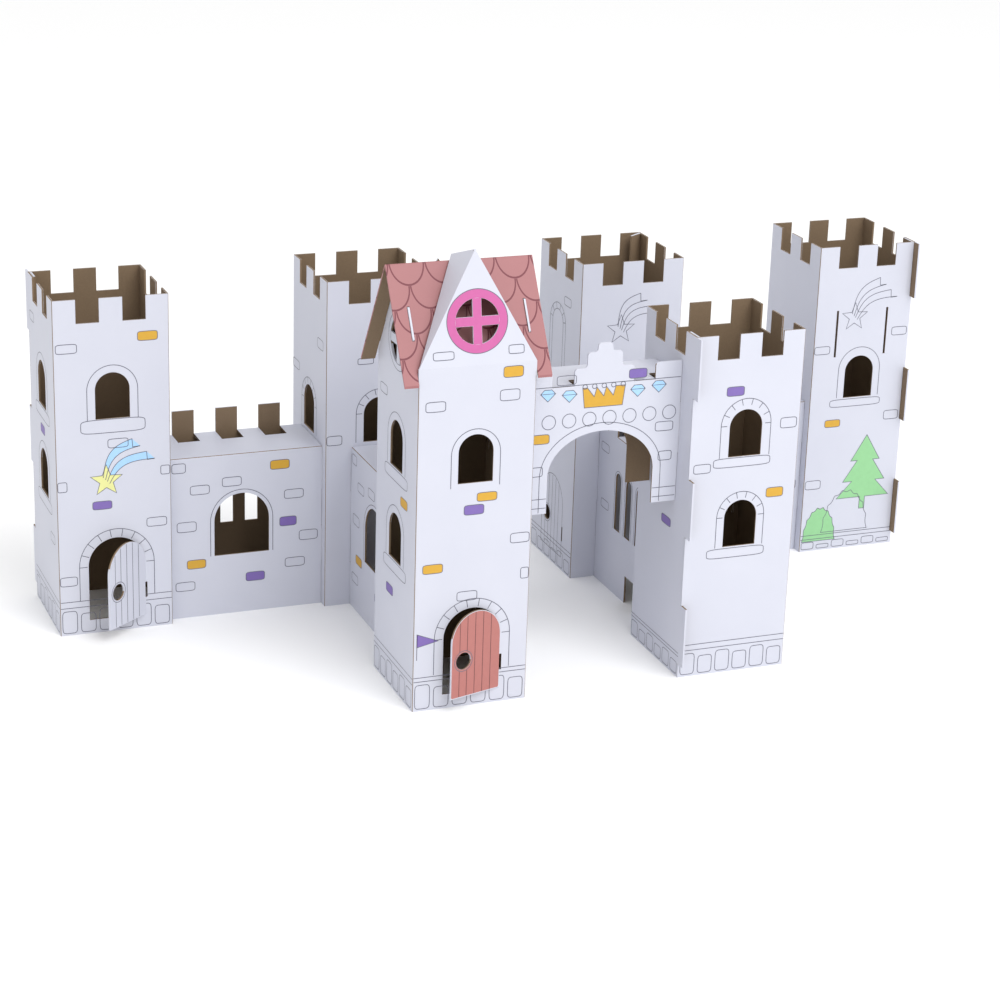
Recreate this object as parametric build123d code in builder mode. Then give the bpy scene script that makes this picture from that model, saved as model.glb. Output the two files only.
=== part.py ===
"""Cardboard play castle: six folded towers, four box walls, a gate bridge and a roof.

Every piece is one sheet of thin corrugated board, cut and folded. The towers are square
tubes closed by a flap and tabs, the walls are folded to an upside-down U, and all of
them plug together with tabs that go through slots in the towers.

The origin is the middle of the castle's ground plan, on the floor. +Z is up and the
gate looks towards -Y. Sizes are in millimetres.
"""

import math
import os

from build123d import *

# ---------------------------------------------------------------- driving dimensions
board = 1.6                 # thickness of the corrugated board
fold_radius = 1.2           # outside radius of a folded edge
fit = 0.3                   # clearance around a tab, a leaf or a seam

tower_size = 100.0          # outside width and depth of a tower
tower_height = 302.0        # floor to the top of the merlons
merlon_depth = 21.0         # how far the gaps between merlons are cut down
merlon_parts = 5            # merlon, gap, merlon, gap, merlon across a face

seam_tab_reach = 8.5        # how far the seam tabs stand out past the corner
seam_tabs = ((12.0, 66.0), (127.0, 179.0), (249.0, tower_height))
seam_flap = 18.0            # width of the glue-less flap inside the corner

window_width = 30.0         # arched tower window
window_height = 41.0
window_sills = {"low": 115.5, "middle": 153.5, "high": 195.5}

door_width = 50.0           # arched door leaf, cut on three sides
door_height = 74.5
door_sill = 12.5
door_left = 26.0            # from the face's left edge to the door
door_hole_radius = 7.5      # finger hole near the leaf's free edge
door_hole_edge = 12.5       # hole's middle from the free edge
door_hole_height = 45.0     # hole's middle above the floor
hinge_slot = (29.0, 42.5)   # cut through the fold of a door, from and to height

wall_length = 140.0         # clear distance between two neighbouring towers
wall_height = 150.0
wall_depth = 66.0
wall_margin = 10.0          # tower edge to the wall's window panel
wall_module = 20.0          # width of a wall merlon and of each gap
wall_merlon_height = 22.0
wall_window_width = 50.0
wall_window_height = 57.0
wall_window_sill = 56.0
wall_window_middle = 66.0   # along the wall
lancet_width = 12.0
lancet_height = 55.0
lancet_sill = 62.0
lancet_pitch = 23.0
wall_tabs = ((41.0, 75.0), (109.0, 143.0))

low_opening = (28.0, 26.0)  # width and height of the way through one side wall's foot
low_opening_middle = 56.0   # along that wall, seen from its lancet side

gate_depth = 54.0
gate_margin = 24.0          # tower's front edge to the gate's front panel
gate_foot = 153.0           # underside of the gate's legs above the floor
gate_top = 262.0            # its top panel above the floor
gate_arch_width = 95.0
gate_spring = 184.0         # where the arch starts to curve
gate_crown = 221.0          # top of the arch
gate_tabs = ((195.0, 240.0),)
gate_merlon = 24.0          # width of the merlon at each end of the parapet
crest_steps = ((53.0, 14.0), (31.0, 27.0), (13.0, 34.5))   # width and height of each step
crest_radius = 3.0

tab_reach = 9.0             # wall and gate tabs, from the wall's end into the tower

eave_height = 283.0         # top of the gatehouse tower's square part
side_gable_rise = 82.0      # the two gables that carry the roof
back_gable_rise = 73.0
front_fold = 294.0          # where the front gable starts to lean back
front_gable_rise = 92.0     # along the leaning panel
front_gable_lean = 9.2      # degrees
front_flap_back = 43.0      # flap's ridge corner from the tower's side
rose_height = 35.0          # round window's middle above the fold
rose_radius = 18.5
rose_bar = 7.5
side_rose_height = 303.0    # round window of the left gable, above the floor
roof_overhang = 12.5        # past each gable
roof_front_leg = 101.0      # along the slope, from the ridge
roof_back_leg = 109.5
roof_tab_length = 28.0      # gable tabs that go through the roof
roof_tab_stand = 0.8        # how far they show above it
roof_tab_middle = 0.5       # place along the slope, as a share of it

# ---------------------------------------------------------------- values worked out
half = tower_size / 2
cut = board + 2 * fit                     # deep enough to go through one panel
pitch = tower_size + wall_length          # middle to middle of two towers
column = (-1.5 * pitch, -0.5 * pitch, 0.5 * pitch, 1.5 * pitch)
front_row = -pitch / 2
back_row = pitch / 2

tower_places = {
    "tower_left": (column[0], back_row),
    "tower_back_left": (column[1], back_row),
    "tower_gatehouse": (column[1], front_row),
    "tower_back_right": (column[2], back_row),
    "tower_front_right": (column[2], front_row),
    "tower_right": (column[3], back_row),
}

roof_slope = math.atan2(side_gable_rise, half)       # steepness of the roof, in radians
roof_seat = eave_height + side_gable_rise + fit      # underside of the roof at its ridge
roof_lift = board / math.cos(roof_slope)             # board's thickness measured upright
roof_ridge = roof_seat + roof_lift


# ---------------------------------------------------------------- planes and outlines
def face_plane(centre, side):
    """Plane on a tower's outside: origin at its lower left corner seen from outside."""
    x, y = centre
    if side == "front":
        return Plane(origin=(x - half, y - half, 0), x_dir=(1, 0, 0), z_dir=(0, -1, 0))
    if side == "left":
        return Plane(origin=(x - half, y + half, 0), x_dir=(0, -1, 0), z_dir=(-1, 0, 0))
    if side == "right":
        return Plane(origin=(x + half, y - half, 0), x_dir=(0, 1, 0), z_dir=(1, 0, 0))
    return Plane(origin=(x + half, y + half, 0), x_dir=(-1, 0, 0), z_dir=(0, 1, 0))


def arch_outline(plane, middle, sill, width, height, inset=0.0):
    """Upright opening with a half-round top, drawn on the plane."""
    radius = width / 2 - inset
    straight = height - width / 2
    with BuildSketch(plane) as outline:
        with Locations((middle, sill + inset)):
            Rectangle(2 * radius, straight - inset, align=(Align.CENTER, Align.MIN))
        with Locations((middle, sill + straight)):
            Circle(radius)
    return outline.sketch


def slot_outline(plane, middle, low, high, width=board + 2 * fit):
    """Upright slot, long enough for a tab from low to high."""
    with BuildSketch(plane) as outline:
        with Locations((middle, (low + high) / 2)):
            Rectangle(width, high - low + 2 * fit)
    return outline.sketch


def bar_outline(plane, left, right, low, high):
    """Rectangle given by its four sides."""
    with BuildSketch(plane) as outline:
        with Locations(((left + right) / 2, (low + high) / 2)):
            Rectangle(right - left, high - low)
    return outline.sketch


def polygon_outline(plane, points):
    """Straight-sided outline through the points, in order."""
    with BuildSketch(plane) as outline:
        with BuildLine():
            Polyline(*points, close=True)
        make_face()
    return outline.sketch


def rose_outline(plane, middle, height):
    """Four quarter panes of a round window with a cross of bars."""
    with BuildSketch(plane) as outline:
        with Locations((middle, height)):
            Circle(rose_radius)
            Rectangle(2 * rose_radius, rose_bar, mode=Mode.SUBTRACT)
            Rectangle(rose_bar, 2 * rose_radius, mode=Mode.SUBTRACT)
    return outline.sketch


def merlon_gaps(centre, side):
    """The gaps between the merlons of one tower face."""
    part = tower_size / merlon_parts
    with BuildSketch(face_plane(centre, side).offset(fit)) as outline:
        for number in range(1, merlon_parts, 2):
            with Locations(((number + 0.5) * part, tower_height)):
                Rectangle(part, 2 * merlon_depth)
    return outline.sketch


# ---------------------------------------------------------------- the tower's seam
class Seam:
    """The corner where a tower's sheet closes: one panel has tabs, the next one a flap."""

    # unit steps from the corner into the tower, along X and along Y
    corners = {
        "front_left": (-half, -half, 1, 1),
        "front_right": (half, -half, -1, 1),
        "back_left": (-half, half, 1, -1),
        "back_right": (half, half, -1, -1),
    }

    def __init__(self, corner, tab_side, reach=seam_tab_reach, flap_angle=0.0):
        self.corner = corner
        self.tab_side = tab_side
        self.reach = reach
        self.flap_angle = math.radians(flap_angle)

    def points(self, centre, pairs):
        """Ground-plan points from (along the tab panel, across it), from the corner."""
        dx, dy, step_x, step_y = self.corners[self.corner]
        along_y = self.tab_side in ("left", "right")
        result = []
        for along, across in pairs:
            shift_x, shift_y = (across, along) if along_y else (along, across)
            result.append((centre[0] + dx + step_x * shift_x, centre[1] + dy + step_y * shift_y))
        return result

    def gap(self, centre):
        """Cut that parts the tab panel's edge from the panel with the flap."""
        near, far = board, board + fit
        return self.points(centre, ((near, -1), (far, -1), (far, far), (near, far)))

    def notch(self, centre):
        """What a seam tab passes through, cut out of the panel with the flap."""
        far = board + fit
        return self.points(centre, ((-1, -1), (far, -1), (far, far), (-1, far)))

    def flap(self, centre):
        """The flap's section, folded in from the corner beside the tab panel."""
        cos, sin = math.cos(self.flap_angle), math.sin(self.flap_angle)
        inner, outer = 2 * board + fit, board + fit
        corners = ((0, outer), (board, outer), (seam_flap * cos, outer + seam_flap * sin),
                   (seam_flap * cos - board * sin, outer + seam_flap * sin + board * cos),
                   (0, inner + board * sin))
        return self.points(centre, corners)

    def tab(self, centre):
        """One seam tab's section, from inside its panel to its free end."""
        root = 2 * board
        return self.points(centre, ((-self.reach, 0), (root, 0), (root, board),
                                    (-self.reach, board)))


def tower_plan(centre, seam):
    """Ground plan of a tower's sheet: a square tube with its folds rounded and a seam."""
    corner = seam.points(centre, ((0, 0),))[0]
    with BuildSketch() as plan:
        with Locations(centre):
            Rectangle(tower_size, tower_size)
        folds = [v for v in plan.vertices() if (v - Vertex(*corner, 0)).distance_to(Vertex()) > 1]
        fillet(folds, radius=fold_radius)
        with Locations(centre):
            Rectangle(tower_size - 2 * board, tower_size - 2 * board, mode=Mode.SUBTRACT)
        with BuildLine():
            Polyline(*seam.gap(centre), close=True)
        make_face(mode=Mode.SUBTRACT)
        with BuildLine():
            Polyline(*seam.flap(centre), close=True)
        make_face()
    return plan.sketch


# ---------------------------------------------------------------- joints between sheets
def slot_middles(side, margin, depth):
    """Middles of the two slots for a wall or gate of that depth, across a tower face."""
    near = margin + board / 2
    far = margin + depth - board / 2
    if side in ("front", "left"):
        return (tower_size - far, tower_size - near)
    return (near, far)


def wall_slots(side):
    """Slots for a wall: middle, low and high of each, on a tower face."""
    middles = slot_middles(side, wall_margin, wall_depth)
    return [(middle, *tab) for middle in middles for tab in wall_tabs]


def gate_slots(side):
    """Slots for the gate; its margin is measured from the tower's front edge."""
    if side == "right":
        near = gate_margin + board / 2
        middles = (near, near + gate_depth - board)
    else:
        far = tower_size - gate_margin - board / 2
        middles = (far - gate_depth + board, far)
    return [(middle, *tab) for middle in middles for tab in gate_tabs]


# ---------------------------------------------------------------- doors
def hinge_plane(centre, side, angle):
    """Plane in the middle of a door leaf, its origin on the hinge line at the floor."""
    face = face_plane(centre, side)
    turn = math.radians(angle)
    edge = door_left + door_width
    origin = face.origin + face.x_dir * edge - face.z_dir * (board / 2)
    towards_free_edge = -face.x_dir * math.cos(turn) + face.z_dir * math.sin(turn)
    outward = face.x_dir * math.sin(turn) + face.z_dir * math.cos(turn)
    return Plane(origin=origin, x_dir=-towards_free_edge, z_dir=outward)


def add_door(centre, side, angle):
    """Cut the doorway and add its leaf, which hangs on the fold at its right edge."""
    middle = door_left + door_width / 2
    face = face_plane(centre, side)
    extrude(arch_outline(face.offset(fit), middle, door_sill, door_width, door_height),
            amount=-cut, mode=Mode.SUBTRACT)
    leaf = hinge_plane(centre, side, angle)
    extrude(arch_outline(leaf, -door_width / 2, door_sill, door_width, door_height, inset=fit),
            amount=board / 2, both=True)
    spring = door_sill + door_height - door_width / 2
    extrude(bar_outline(leaf, -2 * fit - board / 2, 0, door_sill + fit, spring),
            amount=board / 2, both=True)
    foot = Plane(origin=leaf.origin + Vector(0, 0, door_sill + fit))
    with BuildSketch(foot) as barrel:
        Circle(board / 2)
    extrude(barrel.sketch, amount=spring - door_sill - fit)
    low, high = hinge_slot
    extrude(slot_outline(leaf.offset(board), 0, low, high, width=cut),
            amount=-2 * board, mode=Mode.SUBTRACT)
    extrude(slot_outline(face.offset(fit), door_left + door_width + board / 2, low, high,
                         width=board), amount=-cut, mode=Mode.SUBTRACT)
    with BuildSketch(leaf.offset(board)) as hole:
        with Locations((door_hole_edge - door_width, door_hole_height)):
            Circle(door_hole_radius)
    extrude(hole.sketch, amount=-2 * board, mode=Mode.SUBTRACT)


# ---------------------------------------------------------------- towers
def add_openings(centre, windows, slots):
    """Cut a tower's windows, by face and sill, and its slots, by face."""
    for side, sill in windows:
        extrude(arch_outline(face_plane(centre, side).offset(fit), half, window_sills[sill],
                             window_width, window_height), amount=-cut, mode=Mode.SUBTRACT)
    for side, places in slots:
        plane = face_plane(centre, side).offset(fit)
        for middle, low, high in places:
            extrude(slot_outline(plane, middle, low, high), amount=-cut, mode=Mode.SUBTRACT)


def add_seam_tabs(centre, seam, top):
    """Add the tabs that stand out past the closing corner, up to the top of the panel."""
    if seam.reach == 0:
        return
    for low, high in seam_tabs:
        ends_at = top if high >= top else high - fit
        extrude(polygon_outline(Plane.XY.offset(low), seam.notch(centre)),
                amount=high - low, mode=Mode.SUBTRACT)
        extrude(polygon_outline(Plane.XY.offset(low + fit), seam.tab(centre)),
                amount=ends_at - low - fit)


def battlement_tower(name, seam, windows, slots, door=None):
    """A tower whose four panels end in merlons."""
    centre = tower_places[name]
    with BuildPart() as tower:
        extrude(tower_plan(centre, seam), amount=tower_height)
        add_seam_tabs(centre, seam, tower_height)
        for side in ("front", "left", "right", "back"):
            extrude(merlon_gaps(centre, side), amount=-cut, mode=Mode.SUBTRACT)
        add_openings(centre, windows, slots)
        if door:
            add_door(centre, *door)
    tower.part.label = name
    return tower.part


def gable_flap(centre, hand):
    """Flap of the leaning front gable, folded back until it lies over the roof's ridge."""
    x, y = centre
    lean = math.radians(front_gable_lean)
    eave = Vector(x - hand * half, y - half, front_fold)
    apex = Vector(x, y - half + front_gable_rise * math.sin(lean),
                  front_fold + front_gable_rise * math.cos(lean))
    ridge = Vector(x - hand * (half - front_flap_back), y, roof_ridge + 2.6 * board)
    along = (apex - eave).normalized()
    normal = along.cross(ridge - eave).normalized() * hand
    across = normal.cross(along)
    plane = Plane(origin=eave, x_dir=along, z_dir=normal)
    points = [((p - eave).dot(along), (p - eave).dot(across)) for p in (eave, apex, ridge)]
    return polygon_outline(plane, points)


def gable_tab(centre, side, hand):
    """Tab on a side gable's sloping edge that goes up through the roof."""
    plane = face_plane(centre, side)
    run = half * roof_tab_middle
    foot = Vector(half - hand * run, eave_height + side_gable_rise * (1 - roof_tab_middle))
    down = Vector(-hand * math.cos(roof_slope), -math.sin(roof_slope))
    out = Vector(-hand * math.sin(roof_slope), math.cos(roof_slope))
    top = fit + board + roof_tab_stand
    long, short = roof_tab_length / 2, roof_tab_length / 2 - roof_tab_stand
    corners = (foot - down * long - out * board, foot - down * long + out * (top / 2),
               foot - down * short + out * top, foot + down * short + out * top,
               foot + down * long + out * (top / 2), foot + down * long - out * board)
    return polygon_outline(plane, [(p.X, p.Y) for p in corners])


def gatehouse_tower(name, seam, windows, slots, door):
    """The tower with gables: two carry the roof, the front one stands before it."""
    centre = tower_places[name]
    x, y = centre
    with BuildPart() as tower:
        extrude(tower_plan(centre, seam), amount=eave_height)
        add_seam_tabs(centre, seam, eave_height)
        for side in ("left", "right"):
            plane = face_plane(centre, side)
            peak = (half, eave_height + side_gable_rise)
            low_corners = ((0, eave_height - board), (tower_size, eave_height - board))
            gable = ((0, eave_height), *low_corners, (tower_size, eave_height), peak)
            extrude(polygon_outline(plane, gable), amount=-board)
            for hand in (1, -1):
                extrude(gable_tab(centre, side, hand), amount=-board)
        back = ((0, eave_height - board), (tower_size, eave_height - board),
                (half, eave_height + back_gable_rise))
        extrude(polygon_outline(face_plane(centre, "back"), back), amount=-board)
        front = face_plane(centre, "front")
        extrude(bar_outline(front, 0, tower_size, eave_height - board, front_fold), amount=-board)
        lean = math.radians(front_gable_lean)
        leaning = Plane(origin=(x - half, y - half, front_fold), x_dir=(1, 0, 0),
                        z_dir=(0, -math.cos(lean), math.sin(lean)))
        extrude(polygon_outline(leaning, ((0, 0), (tower_size, 0), (half, front_gable_rise))),
                amount=-board)
        for hand in (1, -1):
            extrude(gable_flap(centre, hand), amount=-board)
        extrude(rose_outline(leaning.offset(fit), half, rose_height), amount=-cut,
                mode=Mode.SUBTRACT)
        extrude(rose_outline(face_plane(centre, "left").offset(fit), half, side_rose_height),
                amount=-cut, mode=Mode.SUBTRACT)
        add_openings(centre, windows, slots)
        add_door(centre, *door)
    tower.part.label = name
    return tower.part


# ---------------------------------------------------------------- roof
def gatehouse_roof():
    """A sheet folded at the ridge; legs at its four corners hang past the gables."""
    x, y = tower_places["tower_gatehouse"]
    left, right = x - half - roof_overhang, x + half + roof_overhang
    section = Plane(origin=(left, y, 0), x_dir=(0, 1, 0), z_dir=(1, 0, 0))
    down_front = Vector(-math.cos(roof_slope), -math.sin(roof_slope))
    down_back = Vector(math.cos(roof_slope), -math.sin(roof_slope))
    top, under = Vector(0, roof_ridge), Vector(0, roof_seat)
    legs = (top, top + down_front * roof_front_leg,
            under + down_front * (roof_front_leg - board / math.tan(roof_slope)), under,
            under + down_back * (roof_back_leg - board / math.tan(roof_slope)),
            top + down_back * roof_back_leg)
    # between the legs the slopes stop inside the front and back panels
    reach = half - board - 2 * fit
    stop = roof_ridge - (reach - fit) * math.tan(roof_slope)
    with BuildPart() as roof:
        extrude(polygon_outline(section, [(p.X, p.Y) for p in legs]), amount=right - left)
        ridge = roof.edges().filter_by(Axis.X).sort_by(Axis.Z)[-1]
        fillet(ridge, radius=fold_radius)
        with BuildSketch(Plane.XY.offset(stop)) as between:
            with Locations((x, y)):
                Rectangle(tower_size + 2 * fit, 2 * (half + roof_back_leg))
        extrude(between.sketch, amount=-roof_back_leg, mode=Mode.SUBTRACT)
        for side in ("left", "right"):
            plane = face_plane((x, y), side).offset(fit)
            for hand in (1, -1):
                foot = Vector(half - hand * half * roof_tab_middle,
                              eave_height + side_gable_rise * (1 - roof_tab_middle))
                with BuildSketch(plane) as slit:
                    with Locations(Location((foot.X, foot.Y, 0), math.degrees(roof_slope) * hand)):
                        Rectangle(roof_tab_length + 2 * fit, 6 * board)
                extrude(slit.sketch, amount=-cut, mode=Mode.SUBTRACT)
    roof.part.label = "gatehouse_roof"
    return roof.part


# ---------------------------------------------------------------- walls and gate
def end_tabs(panel, length, tabs, depths):
    """Tabs at both ends of a wall's two long panels, drawn on its window panel's plane."""
    for depth in depths:
        for low, high in tabs:
            plane = panel.offset(-depth)
            for start, end in ((-tab_reach, board), (length - board, length + tab_reach)):
                tab = bar_outline(plane, start, end, low, high)
                extrude(tab, amount=-board)


def folded_section(frame, depth, foot, top):
    """Upside-down U of a wall or the gate, drawn across it, with rounded folds."""
    across = Plane(origin=frame.origin + frame.x_dir * fit, x_dir=frame.y_dir, z_dir=frame.x_dir)
    with BuildSketch(across) as section:
        with Locations((depth / 2, (foot + top) / 2)):
            Rectangle(depth, top - foot)
        fillet(section.vertices().group_by(Axis.Y)[-1], radius=fold_radius)
        with Locations((depth / 2, (foot + top) / 2 - board / 2)):
            Rectangle(depth - 2 * board, top - foot - board, mode=Mode.SUBTRACT)
    return section.sketch


def box_wall(name, frame, has_low_opening=False):
    """Wall between two towers: its merlons are cut from its top and stand up at its back."""
    panel = Plane(origin=frame.origin, x_dir=frame.x_dir, z_dir=-frame.y_dir)
    rear = panel.offset(-wall_depth)
    top = Plane(origin=frame.origin + frame.z_dir * wall_height, x_dir=frame.x_dir,
                z_dir=frame.z_dir)
    with BuildPart() as wall:
        extrude(folded_section(frame, wall_depth, 0, wall_height), amount=wall_length - 2 * fit)
        end_tabs(panel, wall_length, wall_tabs, (0, wall_depth - board))
        window = arch_outline(panel.offset(fit), wall_window_middle, wall_window_sill,
                              wall_window_width, wall_window_height)
        extrude(window, amount=-cut, mode=Mode.SUBTRACT)
        for step in (-1, 0, 1):
            lancet = arch_outline(rear.offset(-fit), wall_length / 2 + step * lancet_pitch,
                                  lancet_sill, lancet_width, lancet_height)
            extrude(lancet, amount=cut, mode=Mode.SUBTRACT)
        for left in (wall_module, 3 * wall_module, 5 * wall_module):
            hole = bar_outline(top.offset(fit), left, left + wall_module,
                               wall_depth - board - wall_merlon_height, wall_depth - board)
            extrude(hole, amount=-cut, mode=Mode.SUBTRACT)
            merlon = bar_outline(rear, left, left + wall_module, wall_height - 2 * board,
                                 wall_height + wall_merlon_height)
            extrude(merlon, amount=board)
        if has_low_opening:
            width, height = low_opening
            foot = bar_outline(rear.offset(-fit), low_opening_middle - width / 2,
                               low_opening_middle + width / 2, -fit, height)
            extrude(foot, amount=cut, mode=Mode.SUBTRACT)
    wall.part.label = name
    return wall.part


def parapet_outline(plane, base, low):
    """Merlons at the gate's ends and the stepped crest between them, down to low."""
    middle = wall_length / 2
    height = crest_steps[0][1]
    with BuildSketch(plane) as outline:
        for left in (0, wall_length - gate_merlon):
            with Locations((left + gate_merlon / 2, base)):
                Rectangle(gate_merlon, height, align=(Align.CENTER, Align.MIN))
        for width, rise in crest_steps:
            with Locations((middle, base)):
                Rectangle(width, rise, align=(Align.CENTER, Align.MIN))
        corners = [v for v in outline.vertices() if v.Y > base + 1 and fit < v.X < wall_length - fit]
        fillet(corners, radius=crest_radius)
        for left, right in ((fit, gate_merlon), (middle - crest_steps[0][0] / 2,
                            middle + crest_steps[0][0] / 2), (wall_length - gate_merlon,
                            wall_length - fit)):
            with Locations(((left + right) / 2, base)):
                Rectangle(right - left, base - low, align=(Align.CENTER, Align.MAX))
        for end in (0, wall_length):
            with Locations((end, base)):
                Rectangle(2 * fit, 4 * height, mode=Mode.SUBTRACT)
    return outline.sketch


def gate_bridge():
    """Bridge over the gateway: arched legs, a stepped crest cut from its top panel."""
    x = column[1] + half
    y = front_row - half + gate_margin
    frame = Plane(origin=(x, y, 0), x_dir=(1, 0, 0), z_dir=(0, 0, 1))
    panel = Plane(origin=frame.origin, x_dir=frame.x_dir, z_dir=-frame.y_dir)
    top = frame.offset(gate_top)
    with BuildPart() as gate:
        extrude(folded_section(frame, gate_depth, gate_foot, gate_top),
                amount=wall_length - 2 * fit)
        end_tabs(panel, wall_length, gate_tabs, (0, gate_depth - board))
        with BuildSketch(panel.offset(fit)) as arch:
            with Locations((wall_length / 2, gate_foot - fit)):
                Rectangle(gate_arch_width, gate_spring - gate_foot + fit,
                          align=(Align.CENTER, Align.MIN))
            with Locations((wall_length / 2, gate_spring)):
                Ellipse(gate_arch_width / 2, gate_crown - gate_spring)
        extrude(arch.sketch, amount=-gate_depth - cut, mode=Mode.SUBTRACT)
        extrude(parapet_outline(top.offset(fit), board, 0), amount=-cut, mode=Mode.SUBTRACT)
        extrude(parapet_outline(panel, gate_top, gate_top - 2 * board), amount=-board)
    gate.part.label = "gate_bridge"
    return gate.part


# ---------------------------------------------------------------- the castle's pieces
def tower_pieces():
    """All six towers, each with its own windows, slots, door and closing corner."""
    wall = {side: (side, wall_slots(side)) for side in ("front", "left", "right", "back")}
    gate = {side: (side, gate_slots(side)) for side in ("front", "left", "right")}
    return [
        battlement_tower(
            "tower_left", Seam("back_left", "left"),
            windows=(("front", "high"), ("left", "high"), ("left", "low"), ("right", "middle")),
            slots=(wall["right"],), door=("front", 37.5)),
        battlement_tower(
            "tower_back_left", Seam("front_right", "right"),
            windows=(("front", "middle"), ("left", "middle")),
            slots=(wall["front"], wall["left"])),
        gatehouse_tower(
            "tower_gatehouse", Seam("back_right", "right", reach=0.0),
            windows=(("front", "high"), ("left", "high"), ("left", "low"), ("back", "middle")),
            slots=(wall["back"], gate["right"]), door=("front", 16.0)),
        battlement_tower(
            "tower_back_right", Seam("back_right", "back", reach=0.0, flap_angle=34.0),
            windows=(("front", "middle"), ("right", "middle")),
            slots=(wall["front"], wall["right"]), door=("left", 0.0)),
        battlement_tower(
            "tower_front_right", Seam("front_left", "left"),
            windows=(("front", "high"), ("front", "low"), ("back", "middle")),
            slots=(gate["left"], wall["back"])),
        battlement_tower(
            "tower_right", Seam("front_right", "right"),
            windows=(("front", "middle"), ("left", "middle")),
            slots=(gate["front"], wall["left"])),
    ]


def wall_pieces():
    """The four box walls, each in a frame with its window panel on local -Y."""
    window_y = back_row - half + wall_margin
    window_west = half - wall_margin - wall_depth
    return [
        box_wall("wall_left", Plane(origin=(column[0] + half, window_y, 0), x_dir=(1, 0, 0),
                                    z_dir=(0, 0, 1))),
        box_wall("wall_side_left", Plane(origin=(column[1] + window_west, back_row - half, 0),
                                         x_dir=(0, -1, 0), z_dir=(0, 0, 1))),
        box_wall("wall_side_right", Plane(origin=(column[2] + half - wall_margin,
                                                  front_row + half, 0),
                                          x_dir=(0, 1, 0), z_dir=(0, 0, 1)),
                 has_low_opening=True),
        box_wall("wall_right", Plane(origin=(column[2] + half, window_y, 0), x_dir=(1, 0, 0),
                                     z_dir=(0, 0, 1))),
    ]


os.makedirs("parts", exist_ok=True)
for piece in (*tower_pieces(), *wall_pieces(), gate_bridge(), gatehouse_roof()):
    export_step(piece, f"parts/{piece.label}.step")
    print(piece.label, len(piece.solids()), round(piece.volume / 1000, 2), "cm3")
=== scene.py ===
"""Finishes, print and studio for the cardboard play castle. Lengths are in metres, and
the tables of printed shapes are in millimetres."""
import math

import bpy
import numpy as np
from mathutils import Matrix, Vector


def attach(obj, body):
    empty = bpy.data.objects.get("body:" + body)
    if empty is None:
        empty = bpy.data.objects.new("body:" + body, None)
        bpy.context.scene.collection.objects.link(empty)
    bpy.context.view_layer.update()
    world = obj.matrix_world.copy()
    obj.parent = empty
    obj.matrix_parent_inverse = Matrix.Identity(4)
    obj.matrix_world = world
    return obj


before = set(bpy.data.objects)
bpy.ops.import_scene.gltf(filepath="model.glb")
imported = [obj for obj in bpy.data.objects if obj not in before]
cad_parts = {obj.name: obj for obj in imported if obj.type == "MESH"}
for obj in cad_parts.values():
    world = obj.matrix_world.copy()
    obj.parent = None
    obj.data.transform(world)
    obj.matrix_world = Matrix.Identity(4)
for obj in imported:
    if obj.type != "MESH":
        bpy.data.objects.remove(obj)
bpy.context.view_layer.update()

bl_info = {
    "name": "Cardboard castle finishes",
    "version": (1, 0, 0),
    "blender": (4, 5, 0),
    "location": "View3D > Sidebar > Castle",
    "description": "Board, printed line work and studio for the folded cardboard castle",
    "category": "Object",
}

MM = 0.001

# ------------------------------------------------------------------ where the sheets are
TOWER = 0.100
HALF = TOWER / 2
CENTRES = {
    "tower_left": (-0.36, 0.12), "tower_back_left": (-0.12, 0.12),
    "tower_gatehouse": (-0.12, -0.12), "tower_back_right": (0.12, 0.12),
    "tower_front_right": (0.12, -0.12), "tower_right": (0.36, 0.12),
}
# middle of each folded wall in plan, and half its width and depth
WALLS = {
    "wall_left": (-0.24, 0.113, 0.080, 0.033), "wall_right": (0.24, 0.113, 0.080, 0.033),
    "wall_side_left": (-0.113, 0.0, 0.033, 0.080), "wall_side_right": (0.127, 0.0, 0.033, 0.080),
}
GATE_FRONT, GATE_LEFT = -0.146, -0.070
GATE_WIDTH = 140             # in millimetres, as the printed tables are
ROOF_RIDGE = 0.3683          # top of the roof's ridge above the floor
ROOF_PITCH = math.atan2(82.0, 50.0)
DOOR_FOLD = 0.076            # from a face's left edge to its door's fold
HALF_BOARD = 0.0008
DOOR_ANGLES = {"tower_left": 37.5, "tower_gatehouse": 16.0}
# the front gable leans back by this from where it is folded
GABLE_FOLD, GABLE_LEAN = 0.294, math.radians(9.2)
# how far ink lies off the board, from the lowest coat to the lines on top
TAIL_LIFT, FILL_LIFT, LINE_LIFT = 0.00003, 0.00005, 0.00008


class Sheet:
    """A flat face of board: point(a, z) is a along it and z up it, lifted off its surface."""

    def __init__(self, origin, along, up, out):
        self.origin, self.along = np.array(origin, float), np.array(along, float)
        self.up, self.out = np.array(up, float), np.array(out, float)

    def points(self, outline, lift):
        """Corner + a along + z up + lift outward, for all rows of (a, z) in millimetres."""
        flat = np.asarray(outline, float) * MM
        return (self.origin + flat[:, :1] * self.along + flat[:, 1:] * self.up
                + lift * self.out)


def tower_face(node, side):
    """Face of a tower, from its lower left corner seen from outside."""
    x, y = CENTRES[node]
    start, along, out = {
        "front": ((x - HALF, y - HALF, 0), (1, 0, 0), (0, -1, 0)),
        "left": ((x - HALF, y + HALF, 0), (0, -1, 0), (-1, 0, 0)),
        "right": ((x + HALF, y - HALF, 0), (0, 1, 0), (1, 0, 0)),
        "back": ((x + HALF, y + HALF, 0), (-1, 0, 0), (0, 1, 0)),
    }[side]
    return Sheet(start, along, (0, 0, 1), out)


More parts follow.
